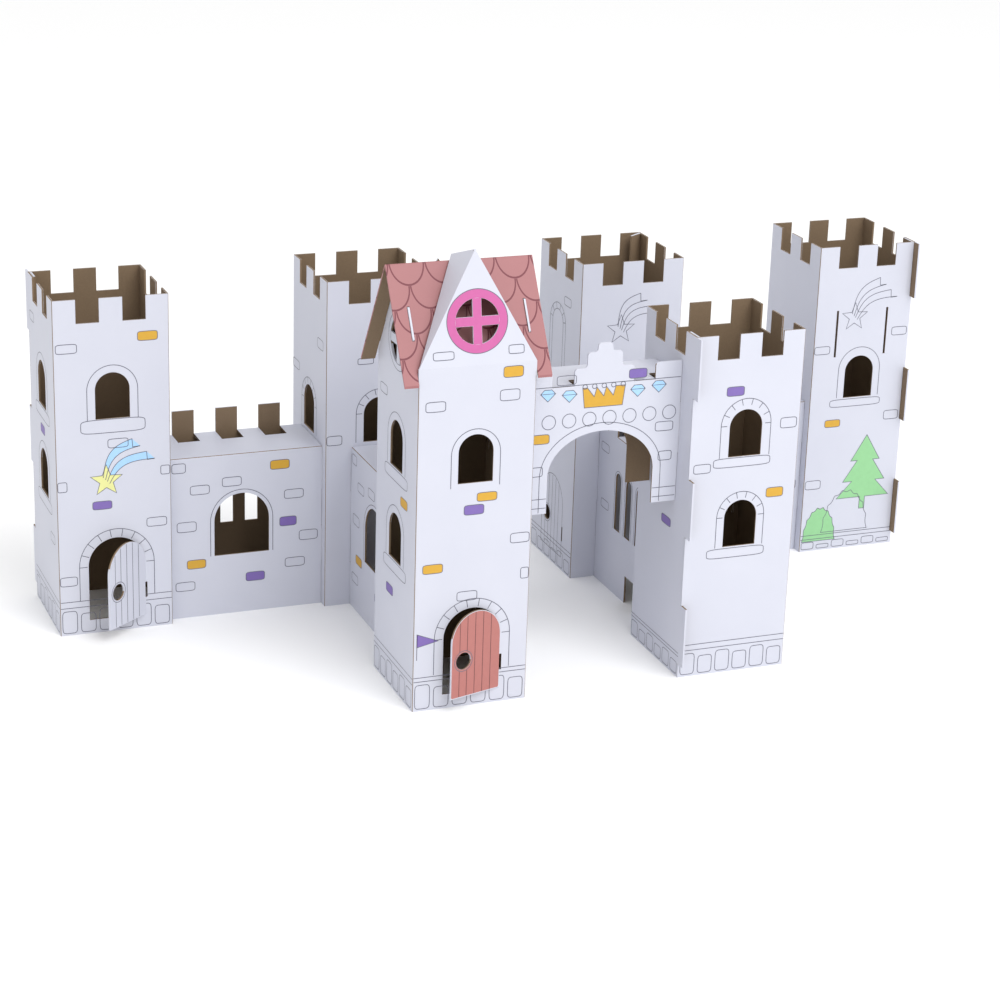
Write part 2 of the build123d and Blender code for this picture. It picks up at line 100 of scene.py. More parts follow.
def door_face(node):
    """Outside of a door leaf: the face turned about the fold at the leaf's right edge."""
    face = tower_face(node, "front")
    turn = math.radians(DOOR_ANGLES[node])
    along = face.along * math.cos(turn) - face.out * math.sin(turn)
    out = face.along * math.sin(turn) + face.out * math.cos(turn)
    fold = face.origin + face.along * DOOR_FOLD - face.out * HALF_BOARD
    return Sheet(fold + out * HALF_BOARD - along * DOOR_FOLD, along, (0, 0, 1), out)


# ------------------------------------------------------------------ printed shapes
# (shape, fill colour or None, left, right, low, high), in millimetres on one face
TOWER_PRINT = {
    ("tower_left", "front"): (
        ("arch", None, 28, 72, 195, 243), ("brick", None, 22, 78, 183, 195),
        ("brick", "gold", 72.5, 89.9, 262.5, 270.6), ("brick", None, 2.3, 20.3, 255.7, 263.7),
        ("brick", None, 45.2, 62.8, 169, 177), ("brick", None, 1, 9, 132.7, 141.5),
        ("brick", None, 1, 15.9, 46, 54.3), ("brick", None, 91, 99, 141, 149),
        ("brick", None, 78, 95.6, 94, 102), ("tails", "blue", 43.3, 76, 139.7, 166),
        ("star", "yellow", 28.7, 57.9, 125.1, 154.3), ("brick", "purple", 30.8, 47.6, 114, 121.4),
        ("door", None, 26, 76, 12.5, 87), ("plinth", None, 0, 100, 25.4, 31)),
    ("tower_left", "left"): (
        ("arch", None, 28, 72, 195, 243), ("arch", None, 28, 72, 115, 163),
        ("brick", None, 22, 78, 184, 194), ("brick", None, 22, 78, 104, 114),
        ("brick", None, 6, 23, 262, 270), ("brick", "purple", 40, 57, 170, 178),
        ("brick", None, 70, 87, 80, 88), ("plinth", None, 0, 100, 25.4, 31)),
    ("tower_back_left", "left"): (
        ("brick", None, 74, 90.6, 237, 246), ("brick", None, 1, 20.4, 199, 207),
        ("voussoirs", None, 28, 72, 153, 201)),
    ("tower_back_left", "front"): (
        ("brick", None, 1, 15, 152.7, 161.3), ("brick", None, 29, 43.4, 225.5, 231),
        ("voussoirs", None, 28, 72, 153.5, 202)),
    ("tower_gatehouse", "front"): (
        ("brick", "gold", 71.6, 88.5, 281.8, 291), ("brick", None, 6.4, 23.1, 258, 266.3),
        ("brick", None, 69.2, 86.1, 262.5, 271.7), ("arch", None, 29, 71, 192, 241),
        ("brick", "gold", 51.9, 69.1, 179, 186.4), ("brick", "purple", 41, 58.1, 168.2, 176.5),
        ("brick", None, 82, 98.5, 139.9, 148.3), ("brick", "gold", 6.7, 23.8, 120.7, 128.5),
        ("brick", None, 36.8, 54.2, 94, 102), ("brick", None, 92, 99, 108, 117.4),
        ("pennant", "purple", 2.1, 21.7, 45.7, 68.5), ("door", None, 26, 76, 12.5, 87),
        ("plinth", None, 0, 100, 26.3, 29.9)),
    ("tower_gatehouse", "left"): (
        ("arch", None, 28, 72, 195, 243), ("arch", None, 28, 72, 115, 163),
        ("brick", None, 22, 78, 184, 194), ("brick", None, 22, 78, 104, 114),
        ("ring", None, 26, 74, 279, 327), ("brick", None, 8, 25, 250, 258),
        ("brick", "gold", 62, 79, 168, 176), ("brick", "purple", 30, 47, 82, 90),
        ("plinth", None, 0, 100, 24, 29)),
    ("tower_back_right", "left"): (
        ("brick", None, 61, 77, 255, 263), ("window", None, 29, 66, 185, 253),
        ("door", None, 26, 76, 12.5, 87), ("plinth", None, 0, 100, 20, 24)),
    ("tower_back_right", "front"): (
        ("tails", None, 40, 68, 238.8, 262), ("star", None, 26, 54, 224.8, 252.8)),
    ("tower_front_right", "front"): (
        ("brick", "purple", 30.4, 46.3, 249, 257), ("voussoirs", None, 27, 73, 195, 246),
        ("brick", None, 21.8, 74.3, 186.6, 194.6), ("brick", None, 4, 19.4, 183.5, 191.4),
        ("brick", None, 82, 97, 217, 226), ("brick", "gold", 72.9, 88.7, 156.4, 164.8),
        ("voussoirs", None, 28, 72, 115, 164), ("brick", None, 20.5, 74, 105.6, 114),
        ("plinth", None, 0, 100, 24, 29)),
    ("tower_front_right", "left"): (
        ("brick", "purple", 51.5, 70, 126, 133.5), ("plinth", None, 0, 100, 19, 22)),
    ("tower_right", "front"): (
        ("tails", None, 40.9, 75, 233.2, 260), ("star", None, 27, 54.8, 219, 247),
        ("brick", None, 1, 17, 198.5, 206.1), ("brick", None, 82, 98, 212, 220),
        ("brick", None, 80.8, 96.1, 128, 136.8), ("brick", None, 1.6, 17.8, 63.5, 72.1),
        ("brick", "gold", 17.7, 33.9, 125, 132.2), ("arch", None, 28, 72, 154, 203),
        ("brick", None, 21.3, 74.9, 144.6, 152), ("tree", "green", 36.4, 92.8, 39, 114),
        ("bush", None, 22, 72, 18, 60), ("bush", "green", 2, 37.6, 9.8, 44.5),
        ("plinth", None, 0, 100, 12, 16)),
}
WALL_PRINT = (
    ("brick", None, 3.2, 15.4, 136.5, 145.2), ("brick", None, 19.5, 36.7, 115.2, 123.5),
    ("brick", None, 48.4, 65.7, 120.3, 128.6), ("brick", "gold", 92.2, 109.7, 132.1, 140.5),
    ("brick", None, 105.1, 122.7, 103.5, 111.8), ("brick", "purple", 100.9, 116.3, 77.9, 86.5),
    ("brick", None, 7.3, 24.6, 81.2, 90.4), ("brick", None, 119, 136, 62.8, 72),
    ("brick", "gold", 16, 33, 45.9, 54.1), ("brick", None, 106, 124, 38.5, 46.9),
    ("brick", "purple", 69.7, 86.9, 28.8, 37.1), ("brick", None, 5.6, 22.9, 25.7, 33.9),
    ("arch", None, 37.5, 94.5, 56, 116.5),
)
LANCET_PRINT = (
    ("brick", None, 6, 23, 128, 136), ("brick", "gold", 84, 101, 130, 138),
    ("brick", None, 108, 125, 92, 100), ("brick", None, 10, 27, 74, 82),
    ("brick", "purple", 104, 121, 50, 58), ("brick", None, 90, 107, 28, 36),
    ("arch", None, 39, 55, 62, 119), ("arch", None, 62, 78, 62, 119),
    ("arch", None, 85, 101, 62, 119),
)
GATE_PRINT = (
    ("crown", "gold", 53, 87, 242, 259), ("gem", "blue", 14, 27, 250, 260),
    ("gem", "blue", 33, 46, 248, 258), ("gem", "blue", 94, 107, 248, 258),
    ("gem", "blue", 113, 126, 250, 260), ("brick", None, 28, 45, 263, 271),
    ("brick", "purple", 92, 108, 264, 272), ("brick", "gold", 8, 23, 214, 222),
    ("brick", None, 118, 134, 216, 224), ("brick", None, 6, 18, 186, 194),
    ("brick", None, 122, 134, 190, 198),
) + tuple(("ring", None, 16 + 18 * n, 28 + 18 * n, 226, 238) for n in range(7))

INKS = {"gold": "gold_ink", "purple": "purple_ink", "yellow": "yellow_ink",
        "blue": "blue_ink", "green": "green_ink"}
STAR_DENT = 0.42             # inner corners of a star, as a share of its reach
GEM_SHOULDER = 0.65          # widest part of a gem, as a share of its height


def ellipse(left, right, low, high, start=0.0, end=2 * math.pi, count=40):
    """Middle + half width times cosine, half height times sine, from start to end."""
    turn = np.linspace(start, end, count)
    return np.c_[(left + right) / 2 + (right - left) / 2 * np.cos(turn),
                 (low + high) / 2 + (high - low) / 2 * np.sin(turn)]


def brick(left, right, low, high):
    """Rounded rectangle: an ellipse whose cosine and sine are raised to the power 0.35."""
    turn = np.linspace(0, 2 * np.pi, 33)
    c, s = np.cos(turn), np.sin(turn)
    return np.c_[(left + right) / 2 + (right - left) / 2 * np.sign(c) * np.abs(c) ** 0.35,
                 (low + high) / 2 + (high - low) / 2 * np.sign(s) * np.abs(s) ** 0.35]


def arch(left, right, low, high):
    """Upright sides and a half circle on top, from the lower left to the lower right."""
    radius = (right - left) / 2
    top = ellipse(left, right, high - 2 * radius, high, np.pi, 0, 24)
    return np.r_[[[left, low]], top, [[right, low]]]


def star(left, right, low, high):
    """Five tips and five dents in turn, each a tenth of a circle on from the last."""
    number = np.arange(11)
    turn = np.pi / 2 + number * np.pi / 5
    reach = np.where(number % 2 == 0, 1.0, STAR_DENT) * (right - left) / 2
    return np.c_[(left + right) / 2 + reach * np.cos(turn),
                 (low + high) / 2 + reach * np.sin(turn)]


def tree(left, right, low, high):
    """Three tiers, each wider than the one above, down one side and up the other."""
    middle, span = (left + right) / 2, (right - left) / 2
    steps = ((0, 1), (0.55, 0.66), (0.3, 0.66), (0.8, 0.38), (0.45, 0.38), (1, 0.16),
             (0.1, 0.16), (0.1, 0))
    side = np.array([(a * span, low + z * (high - low)) for a, z in steps])
    other = side[::-1] * (-1, 1)
    return np.r_[side, other] + (middle, 0)


def bush(left, right, low, high):
    """Half ellipse, drawn in by up to 6 per cent along nine waves of its rim."""
    turn = np.linspace(0, np.pi, 60)
    wave = 1 - 0.06 * np.abs(np.sin(9 * turn))
    rim = np.c_[(left + right) / 2 + (right - left) / 2 * wave * np.cos(turn),
                low + (high - low) * wave * np.sin(turn)]
    return np.r_[rim, rim[:1]]


def gem(left, right, low, high):
    """Cut stone: a flat top, two shoulders at two thirds of the height and a point below."""
    quarter, shoulder = (right - left) / 4, low + (high - low) * GEM_SHOULDER
    return np.array(((left, shoulder), ((left + right) / 2, low), (right, shoulder),
                     (right - quarter, high), (left + quarter, high), (left, shoulder)))


def pennant(left, right, low, high):
    """Triangle that flies from the top of its pole."""
    pole, middle = left + 1, (low + high) / 2
    return np.array(((pole, high), (right, middle + 4), (pole, middle), (pole, high)))


def crown(left, right, low, high):
    """A band with a zigzag top: tips at the height and dents 8 mm below it."""
    zigzag = [(right - (right - left) * (n + 0.5 * (n % 2)) / 8, high - 8 * ((n + 1) % 2))
              for n in range(1, 8)]
    return np.array([(left, low), (right, low), (right + 2, high), *zigzag,
                     (left - 2, high), (left, low)])


def close(outline):
    """The outline with its first point again at its end."""
    return np.r_[outline, outline[:1]]


OUTLINES = {"brick": brick, "gem": gem, "ring": ellipse, "arch": arch, "voussoirs": arch,
            "door": arch, "window": arch, "star": star, "tree": tree, "bush": bush,
            "pennant": pennant, "crown": crown}


class Print:
    """Gathers ribbons and fills by ink, then makes one thin mesh of each ink."""

    def __init__(self):
        self.parts = {}

    def add(self, ink, points, faces):
        """Keeps the points and the faces, which count from this part's first point."""
        self.parts.setdefault(ink, []).append((points, faces))

    def line(self, sheet, outline, width=0.6, ink="grey_ink"):
        """Ribbon: each point moved half the width to both sides, across the mean direction."""
        path = np.asarray(outline, float)
        closed = np.allclose(path[0], path[-1])
        step = np.diff(path, axis=0)
        step /= np.maximum(np.linalg.norm(step, axis=1), 1e-9)[:, None]
        before = np.r_[step[-1:] if closed else step[:1], step]
        after = np.r_[step, step[:1] if closed else step[-1:]]
        mean = before + after
        mean /= np.maximum(np.linalg.norm(mean, axis=1), 1e-9)[:, None]
        across = np.c_[-mean[:, 1], mean[:, 0]]
        share = np.clip(np.abs((mean * after).sum(axis=1)), 0.5, 1)[:, None]
        left, right = path + across * width / 2 / share, path - across * width / 2 / share
        n = len(path)
        k = np.arange(n - 1)
        self.add(ink, sheet.points(np.r_[left, right], LINE_LIFT),
                 np.c_[k, k + n, k + n + 1, k + 1])

    def fill(self, sheet, outline, ink):
        """One face inside the outline, counter-clockwise so that it looks outward."""
        rim = np.asarray(outline, float)[:-1]
        area = np.sum(rim[:, 0] * np.roll(rim[:, 1], -1) - np.roll(rim[:, 0], -1) * rim[:, 1])
        rim = rim if area > 0 else rim[::-1]
        self.add(ink, sheet.points(rim, FILL_LIFT), np.arange(len(rim))[None])

    def band(self, sheet, outer, inner, ink, lift=FILL_LIFT):
        """Strip between two outlines that have as many points as each other."""
        n = len(outer)
        k = np.arange(n - 1)
        self.add(ink, sheet.points(np.r_[outer, inner], lift), np.c_[k, k + 1, k + n + 1, k + n])

    def spokes(self, sheet, middle, turns, near, far):
        """Short lines out from the middle, at each turn, from near to far."""
        for turn in turns:
            spoke = np.array((np.cos(turn), np.sin(turn)))
            self.line(sheet, (middle + spoke * near, middle + spoke * far))

    def plinth(self, sheet, right, low, high):
        """Two lines across a face and six stones below them, low and high in turn."""
        edge, pitch, width = 0.8, 16.4, 13
        for z in (low, high):
            self.line(sheet, ((edge, z), (right - edge, z)))
        for n in range(6):
            start = 2 + n * pitch
            self.line(sheet, brick(start, start + width, 2, low - 3 - n % 2 * 3))

    def tails(self, sheet, ink, left, right, low, high):
        """Two tails of a falling star: bowed lines that spread as they run, with forked ends."""
        run = np.linspace(0, 1, 20)
        bow = 6 * np.sin(np.pi * run)
        tails = [np.c_[left + (right - left) * run - bow + shift * (run + 0.4),
                       low + (high - low) * run + bow - shift * (run + 0.4)]
                 for shift in (-7, -2, 2, 7)]
        for tail in tails:
            self.line(sheet, tail)
        for first, second in ((0, 1), (2, 3)):
            fork = (tails[first][-1] + tails[second][-1]) / 2 - (3, 4)
            self.line(sheet, (tails[first][-1], fork, tails[second][-1]))
            if ink:
                self.band(sheet, tails[second], tails[first], INKS[ink], TAIL_LIFT)

    def shape(self, sheet, name, ink, left, right, low, high):
        """Draws one row of a table: its small lines, its fill and then its outline."""
        if name == "plinth":
            self.plinth(sheet, right, low, high)
            return
        if name == "tails":
            self.tails(sheet, ink, left, right, low, high)
            return
        outline = OUTLINES[name](left, right, low, high)
        radius = (right - left) / 2
        top = np.array(((left + right) / 2, high - radius))
        if name == "gem":
            shoulder = low + (high - low) * GEM_SHOULDER
            self.line(sheet, ((left, shoulder), (right, shoulder)), 0.5)
        if name == "pennant":
            self.line(sheet, ((left + 1, low), (left + 1, high)))
        if name == "crown":
            for a in np.linspace(left, right, 5):
                self.line(sheet, ellipse(a - 2, a + 2, high - 1, high + 3, count=16))
        if name == "ring" and radius > 10:
            inset = 5
            self.line(sheet, ellipse(left + inset, right - inset, low + inset, high - inset))
        if name == "window":
            self.line(sheet, arch(left + 6, right - 6, low, high - 6))
            self.spokes(sheet, top, np.linspace(0.2, np.pi - 0.2, 6), radius - 6, radius)
        if name == "voussoirs":
            self.spokes(sheet, top, np.linspace(0, np.pi, 8), radius - 5.5, radius)
        if ink:
            self.fill(sheet, outline, INKS[ink])
        # a door's outline is closed by its sill, an open arch's is not
        self.line(sheet, close(outline) if name == "door" else outline)

    def build(self, name):
        """One mesh for each ink, with every part's points and faces joined."""
        for ink, parts in self.parts.items():
            points = np.concatenate([p for p, _ in parts])
            starts = np.cumsum([0] + [len(p) for p, _ in parts[:-1]])
            faces = [row for (_, f), s in zip(parts, starts) for row in (f + s).tolist()]
            mesh = bpy.data.meshes.new(f"{name}_{ink}")
            mesh.from_pydata(points.tolist(), [], faces)
            mesh.update()
            mesh.materials.append(ink_material(ink))
            piece = bpy.data.objects.new(f"{name}_{ink}", mesh)
            bpy.context.collection.objects.link(piece)
            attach(piece, "root")


# ------------------------------------------------------------------ materials
def linear(hexa):
    """sRGB hex to linear red, green, blue and a full alpha."""
    parts = [int(hexa[i:i + 2], 16) / 255 for i in (1, 3, 5)]
    return [c / 12.92 if c <= 0.04045 else ((c + 0.055) / 1.055) ** 2.4 for c in parts] + [1.0]


def add_node(tree, kind, inputs, output=0, **settings):
    """Adds a node with its settings and returns the output asked for.

    Each input, by number or name, is a value or another node's output.
    """
    node = tree.nodes.new(kind)
    for name, value in settings.items():
        setattr(node, name, value)
    for key, value in inputs.items():
        if isinstance(value, bpy.types.NodeSocket):
            tree.links.new(value, node.inputs[key])
        else:
            node.inputs[key].default_value = value
    return node.outputs[output]


def new_material(name):
    """An empty node material with its output and shader."""
    material = bpy.data.materials.new(name)
    material.use_nodes = True
    tree = material.node_tree
    shader = tree.nodes["Principled BSDF"]
    return material, tree, shader


LINER_CLOUD, ROOF_CLOUD = "#D2D3DC", "#AD7878"
KRAFT_FIBRE, TILE_LINE = "#9C8466", "#6A2430"
CUT_DEPTHS = (0.00015, 0.00145)      # just inside both faces of the 1.6 mm board
LOWEST_EAVE = 0.28                   # walls and the gate end below this, towers above it
TILE_WIDTH, TILE_ROW = 0.030, 0.020
INK_COLOURS = {
    "grey_ink": "#5F606E", "plank_ink": "#5E3434", "gold_ink": "#C99B2E", "purple_ink": "#7660A5",
    "yellow_ink": "#DADA91", "blue_ink": "#A0C8EB", "green_ink": "#8CC38C",
    "pink_ink": "#BE5C97", "door_ink": "#AC6C66",
}


def ink_material(name):
    """Offset printing ink on a coated white liner: thin, slightly satin, faintly uneven."""
    if name in bpy.data.materials:
        return bpy.data.materials[name]
    material, tree, shader = new_material(name)
    place = add_node(tree, "ShaderNodeTexCoord", {}, "Object")
    # solid ink on board is mottled at about 4 mm
    mottle = add_node(tree, "ShaderNodeTexNoise", {"Vector": place, "Scale": 250.0})
    shade = add_node(tree, "ShaderNodeMapRange",
                     {"Value": mottle, "To Min": 0.94, "To Max": 1.05})
    tint = add_node(tree, "ShaderNodeVectorMath",
                    {0: linear(INK_COLOURS[name])[:3], "Scale": shade}, operation="SCALE")
    tree.links.new(tint, shader.inputs["Base Color"])
    shader.inputs["Roughness"].default_value = 0.5
    return material


def liner_share(tree, place, centre, plan_half, top):
    """One on a lined outer face and nought on kraft.

    A face is outside where its normal points away from the sheet's middle, and a cut edge
    is where the way in from the nearest outer face is between nought and the board.
    """
    normal = add_node(tree, "ShaderNodeNewGeometry", {}, "Normal")
    away = add_node(tree, "ShaderNodeVectorMath", {0: place, 1: centre}, operation="SUBTRACT")
    facing = add_node(tree, "ShaderNodeVectorMath", {0: away, 1: normal}, "Value",
                      operation="DOT_PRODUCT")
    outside = add_node(tree, "ShaderNodeMath", {0: facing, 1: 0.0}, operation="GREATER_THAN")
    apart = add_node(tree, "ShaderNodeVectorMath", {0: away}, operation="ABSOLUTE")
    inset = add_node(tree, "ShaderNodeVectorMath", {0: (*plan_half, 0.0), 1: apart},
                     operation="SUBTRACT")
    across, deep = add_node(tree, "ShaderNodeSeparateXYZ", {0: inset}).node.outputs[:2]
    depth = add_node(tree, "ShaderNodeMath", {0: across, 1: deep}, operation="MINIMUM")
    height = add_node(tree, "ShaderNodeSeparateXYZ", {0: place}, 2)
    below = add_node(tree, "ShaderNodeMath", {0: top, 1: height}, operation="SUBTRACT")
    # only walls and the gate have a top panel
    spare = 0.0 if top < LOWEST_EAVE else 1.0
    under = add_node(tree, "ShaderNodeMath", {0: below, 1: spare}, operation="ADD")
    depth = add_node(tree, "ShaderNodeMath", {0: depth, 1: under}, operation="MINIMUM")
    near, far = CUT_DEPTHS
    past_face = add_node(tree, "ShaderNodeMath", {0: depth, 1: near}, operation="GREATER_THAN")
    before_back = add_node(tree, "ShaderNodeMath", {0: depth, 1: far}, operation="LESS_THAN")
    cut = add_node(tree, "ShaderNodeMath", {0: past_face, 1: before_back}, operation="MULTIPLY")
    low = add_node(tree, "ShaderNodeMath", {0: below, 1: 0.0}, operation="GREATER_THAN")
    cut = add_node(tree, "ShaderNodeMath", {0: cut, 1: low}, operation="MULTIPLY")
    whole = add_node(tree, "ShaderNodeMath", {0: 1.0, 1: cut}, operation="SUBTRACT")
    return add_node(tree, "ShaderNodeMath", {0: outside, 1: whole}, operation="MULTIPLY")


def scallop_lines(tree, place):
    """One on the printed edge of a roof tile: a half ring in each tile, rows half a tile apart."""
    across, _, height = add_node(tree, "ShaderNodeSeparateXYZ", {0: place}).node.outputs
    drop = add_node(tree, "ShaderNodeMath", {0: ROOF_RIDGE, 1: height}, operation="SUBTRACT")
    slope = add_node(tree, "ShaderNodeMath", {0: drop, 1: math.sin(ROOF_PITCH)},
                     operation="DIVIDE")
    rows = add_node(tree, "ShaderNodeMath", {0: slope, 1: TILE_ROW}, operation="DIVIDE")
    number = add_node(tree, "ShaderNodeMath", {0: rows}, operation="FLOOR")
    tiles = add_node(tree, "ShaderNodeMath", {0: across, 1: TILE_WIDTH}, operation="DIVIDE")
    shift = add_node(tree, "ShaderNodeMath", {0: number, 1: 0.5, 2: tiles},
                     operation="MULTIPLY_ADD")
    part = add_node(tree, "ShaderNodeMath", {0: shift}, operation="FRACT")
    centred = add_node(tree, "ShaderNodeMath", {0: part, 1: 0.5}, operation="SUBTRACT")
    side = add_node(tree, "ShaderNodeMath", {0: centred, 1: TILE_WIDTH}, operation="MULTIPLY")
    fall = add_node(tree, "ShaderNodeMath", {0: rows}, operation="FRACT")
    down = add_node(tree, "ShaderNodeMath", {0: fall, 1: TILE_WIDTH / 2}, operation="MULTIPLY")
    spot = add_node(tree, "ShaderNodeCombineXYZ", {0: side, 1: down})
    reach = add_node(tree, "ShaderNodeVectorMath", {0: spot}, "Value", operation="LENGTH")
    return add_node(tree, "ShaderNodeMath", {0: reach, 1: TILE_WIDTH / 2 - 0.0007, 2: 0.0006},
                    operation="COMPARE")


def board_material(node, centre, plan_half, top, face_colour, kraft_colour, scallops=False):
    """Fine-flute board: a coated white liner outside, bare brown kraft inside and at cuts.

    The coated liner has a low sheen, and the kraft is dull and fibrous.
    """
    material, tree, shader = new_material(f"white_lined_flute_board_{node}")
    place = add_node(tree, "ShaderNodeTexCoord", {}, "Object")
    lined = liner_share(tree, place, centre, plan_half, top)
    # kraft liner: cloudy patches about 40 mm across and fibres of about a millimetre
    cloud = add_node(tree, "ShaderNodeTexNoise", {"Vector": place, "Scale": 25.0, "Detail": 3.0})
    fibre = add_node(tree, "ShaderNodeTexNoise", {"Vector": place, "Scale": 900.0})
    both = add_node(tree, "ShaderNodeMath", {0: cloud, 1: fibre}, operation="ADD")
    mottle = add_node(tree, "ShaderNodeMath", {0: both, 1: 0.25}, operation="MULTIPLY")
    kraft = add_node(tree, "ShaderNodeMix", {0: mottle, 6: linear(kraft_colour),
                                             7: linear(KRAFT_FIBRE)}, 2, data_type="RGBA")
    faint = add_node(tree, "ShaderNodeMath", {0: cloud, 1: 0.35}, operation="MULTIPLY")
    paper = add_node(tree, "ShaderNodeMix",
                     {0: faint, 6: linear(face_colour),
                      7: linear(ROOF_CLOUD if scallops else LINER_CLOUD)}, 2, data_type="RGBA")
    if scallops:
        paper = add_node(tree, "ShaderNodeMix", {0: scallop_lines(tree, place), 6: paper,
                                                 7: linear(TILE_LINE)}, 2, data_type="RGBA")
    colour = add_node(tree, "ShaderNodeMix", {0: lined, 6: kraft, 7: paper}, 2, data_type="RGBA")
    tree.links.new(colour, shader.inputs["Base Color"])
    dull = add_node(tree, "ShaderNodeMath", {0: lined, 1: -0.35, 2: 0.85},
                    operation="MULTIPLY_ADD")
    tree.links.new(dull, shader.inputs["Roughness"])
    # flutes show through the liner as faint waves 3.1 mm apart
    wave = add_node(tree, "ShaderNodeTexWave", {"Vector": place, "Scale": 100.0}, "Fac",
                    bands_direction="Z")
    bump = add_node(tree, "ShaderNodeBump",
                    {"Strength": 0.05, "Distance": 0.0001, "Height": wave})
    tree.links.new(bump, shader.inputs["Normal"])
    return material


# ------------------------------------------------------------------ sizes and colours
class CastleBoard(bpy.types.PropertyGroup):
    """Colours of the board."""
    liner: bpy.props.StringProperty(name="White liner", default="#C1C3CF",
                                    description="sRGB colour of the board's outside")
    kraft: bpy.props.StringProperty(name="Kraft liner", default="#6E5C49",
                                    description="sRGB colour of the board's inside")
    roof: bpy.props.StringProperty(name="Roof ink", default="#9A6264",
                                   description="sRGB colour of the printed roof")


class CastleStudio(bpy.types.PropertyGroup):
    """Floor and lights."""
    floor: bpy.props.StringProperty(name="Floor", default="#FCFCFC",
                                    description="sRGB colour of the floor")
    key: bpy.props.FloatProperty(name="Key light", default=66.0, unit="POWER",
                                 description="Power of the soft light from the upper left")
    fill: bpy.props.FloatProperty(name="Fill light", default=0.95,
                                  description="Strength of the light from all around")


# ------------------------------------------------------------------ operators
class CASTLE_OT_board(bpy.types.Operator):
    """Give each folded sheet its board"""
    bl_idname = "castle.board"
    bl_label = "Board"

    def execute(self, context):
        colours = context.scene.castle_board
        for node, (x, y) in CENTRES.items():
            top = 0.283 if node == "tower_gatehouse" else 1.0
            self.dress(node, (x, y, 0.25), (HALF, HALF), top, colours.liner)
        for node, (x, y, wide, deep) in WALLS.items():
            # a wall's ends are open, so only its two long sides and its top are faces
            plan = (1.0, deep) if wide > deep else (wide, 1.0)
            self.dress(node, (x, y, 0.075), plan, 0.150, colours.liner)
        self.dress("gate_bridge", (0, -0.119, 0.21), (1.0, 0.027), 0.262, colours.liner)
        self.dress("gatehouse_roof", (-0.12, -0.12, 0.28), (1.0, 1.0), 1.0, colours.roof, True)
        return {"FINISHED"}

    def dress(self, node, centre, plan, top, colour, scallops=False):
        """Puts the board on a node."""
        material = board_material(node, centre, plan, top, colour,
                                  bpy.context.scene.castle_board.kraft, scallops)
        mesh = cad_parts[node].data
        mesh.materials.clear()
        mesh.materials.append(material)


class CASTLE_OT_tower_print(bpy.types.Operator):
    """Print bricks, windows, stars and trees on the towers"""
    bl_idname = "castle.tower_print"
    bl_label = "Tower print"

    def execute(self, context):
        ink = Print()
        # the middle of a doorway's round top, and how far the stones around it reach
        spring, near, far = np.array((51, 62)), 26, 33
        for (node, side), rows in TOWER_PRINT.items():
            sheet = tower_face(node, side)
            for row in rows:
                if row[0] == "door" and node in DOOR_ANGLES:
                    ink.spokes(sheet, spring, np.linspace(0, np.pi, 10), near, far)
                    ink.line(sheet, arch(18, 84, 31, 95))
                else:
                    ink.shape(sheet, *row)
        ink.build("tower_print")
        return {"FINISHED"}


class CASTLE_OT_door_print(bpy.types.Operator):
    """Print planks on the doors"""
    bl_idname = "castle.door_print"
    bl_label = "Door print"

    def execute(self, context):
        ink = Print()
        doors = ((door_face("tower_left"), None), (door_face("tower_gatehouse"), "door_ink"),
                 (tower_face("tower_back_right", "left"), None))
        for sheet, colour in doors:
            hole = ellipse(31, 46, 37.5, 52.5)
            if colour:
                outer = arch(26.8, 75.2, 13.5, 86.2)
                self.coat(ink, sheet, outer, hole, colour)
            for a in (34.5, 42, 50, 58, 66):
                reach = math.sqrt(max(0.0, 24 ** 2 - (a - 51) ** 2))
                top = 62 + reach
                cuts = ((13.5, 36.5), (53.5, top)) if 30 < a < 47 else ((13.5, top),)
                for low, high in cuts:
                    ink.line(sheet, ((a, low), (a, high)),
                             ink="plank_ink" if colour else "grey_ink")
            ink.line(sheet, ellipse(29.5, 47.5, 36, 54))
        ink.build("door_print")
        return {"FINISHED"}

    def coat(self, ink, sheet, outer, hole, colour):
        """Strip from the round hole's rim to the leaf's rim, along rays from the hole."""
        turn = np.linspace(0, 2 * np.pi, 97)
        mid = hole[:-1].mean(axis=0)
        rim = close(outer)
        angles = np.unwrap(np.arctan2(*(rim - mid).T[::-1]))
        order = np.argsort(angles)
        far = np.c_[np.interp(turn, angles[order], rim[order, 0], period=2 * np.pi),
                    np.interp(turn, angles[order], rim[order, 1], period=2 * np.pi)]
        near = mid + 7.6 * np.c_[np.cos(turn), np.sin(turn)]
        ink.band(sheet, far, near, colour)


class CASTLE_OT_wall_print(bpy.types.Operator):
    """Print bricks on the box walls and the gate"""
    bl_idname = "castle.wall_print"
    bl_label = "Wall and gate print"

    def execute(self, context):
        ink = Print()
        up = (0, 0, 1)
        for x in (-0.31, 0.17):
            for row in WALL_PRINT:
                ink.shape(Sheet((x, 0.080, 0), (1, 0, 0), up, (0, -1, 0)), *row)
        for row in WALL_PRINT:
            ink.shape(Sheet((-0.146, 0.070, 0), (0, -1, 0), up, (-1, 0, 0)), *row)
        for row in LANCET_PRINT:
            ink.shape(Sheet((0.094, 0.070, 0), (0, -1, 0), up, (-1, 0, 0)), *row)
        gate = Sheet((GATE_LEFT, GATE_FRONT, 0), (1, 0, 0), up, (0, -1, 0))
        for row in GATE_PRINT:
            ink.shape(gate, *row)
        run = np.linspace(np.pi, 0, 40)
        inner = np.c_[70 + 54.5 * np.cos(run), 184 + 44 * np.sin(run)]
        ink.line(gate, np.r_[[[15.5, 154]], inner, [[124.5, 154]]])
        for z in (158, 166):
            ink.line(gate, ((1, z), (22, z)))
            ink.line(gate, ((GATE_WIDTH - 22, z), (GATE_WIDTH - 1, z)))
        ink.line(gate, ((1, 262), (GATE_WIDTH - 1, 262)))
        ink.build("wall_print")
        return {"FINISHED"}


